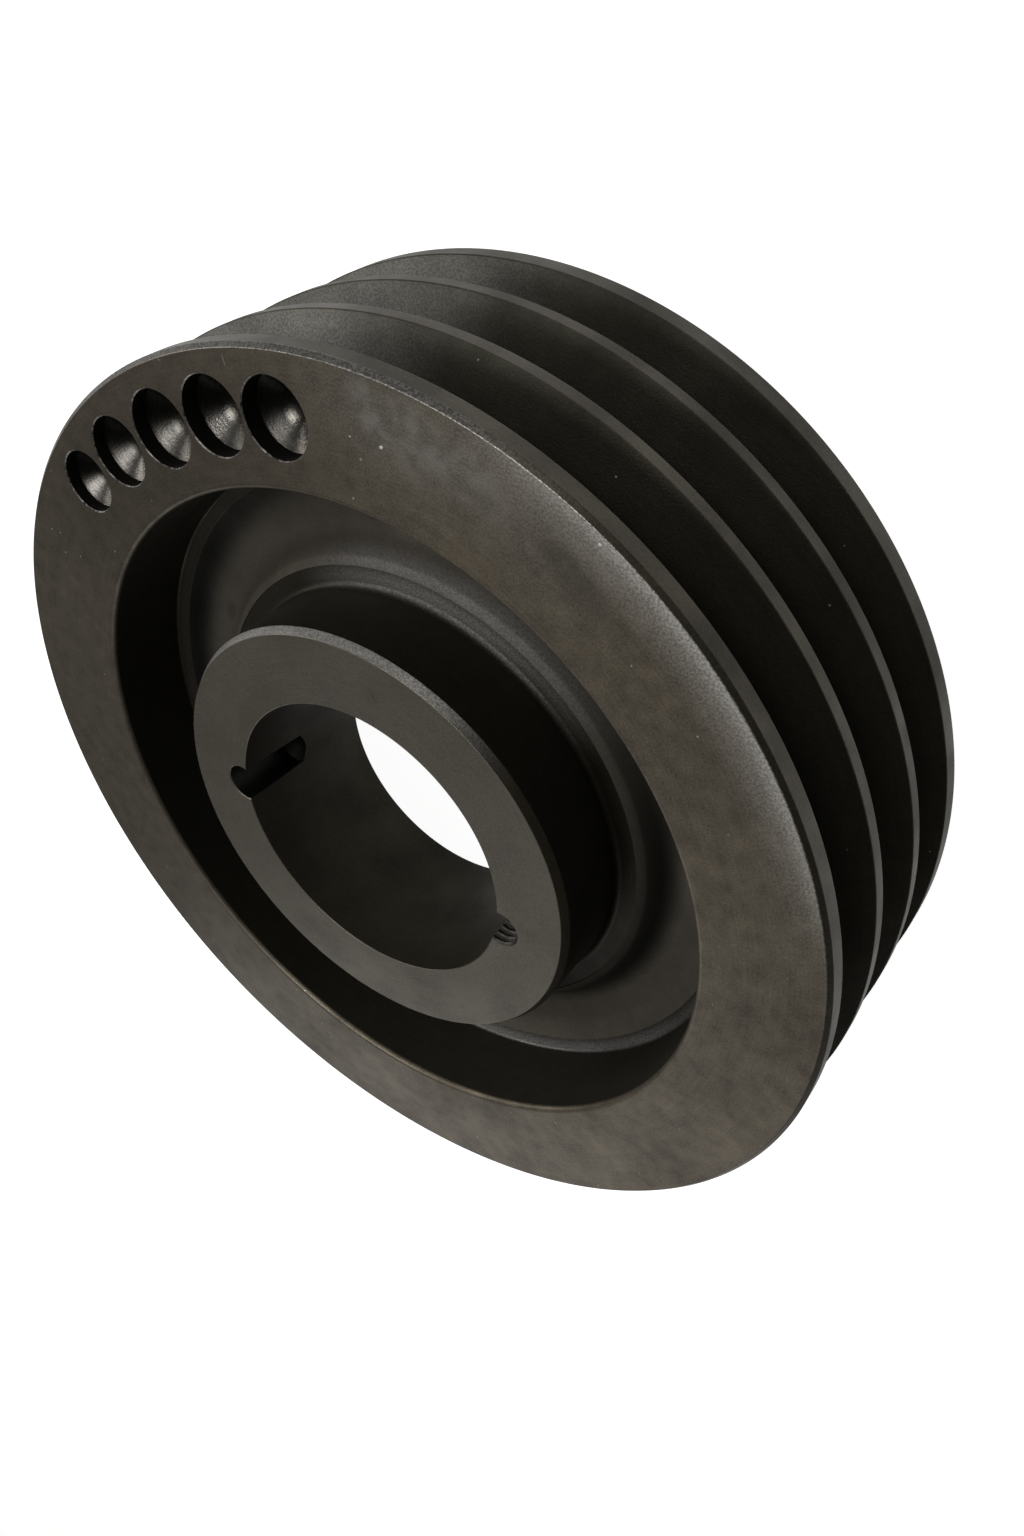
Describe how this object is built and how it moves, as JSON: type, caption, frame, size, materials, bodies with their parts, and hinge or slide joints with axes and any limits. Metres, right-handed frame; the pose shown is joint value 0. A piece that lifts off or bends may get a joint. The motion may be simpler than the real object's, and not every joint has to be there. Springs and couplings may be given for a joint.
{
  "type": "taper bore pulley",
  "caption": "Cast iron V-belt pulley with a recessed web, a raised hub with a taper bore, half holes at the bore's mouth and balance drillings in the rim face.",
  "frame": {"origin": "on the pulley's axis, in the plane of the rear rim face", "axes": "+Z along the axis towards the recessed front and the large end of the taper, +X away from the plain half hole"},
  "size_m": [0.212, 0.212, 0.0665],
  "materials": {
    "cast_iron": "turned and blackened"
  },
  "bodies": {
    "root": {"pulley_body": "cast_iron"}
  },
  "joints": []
}
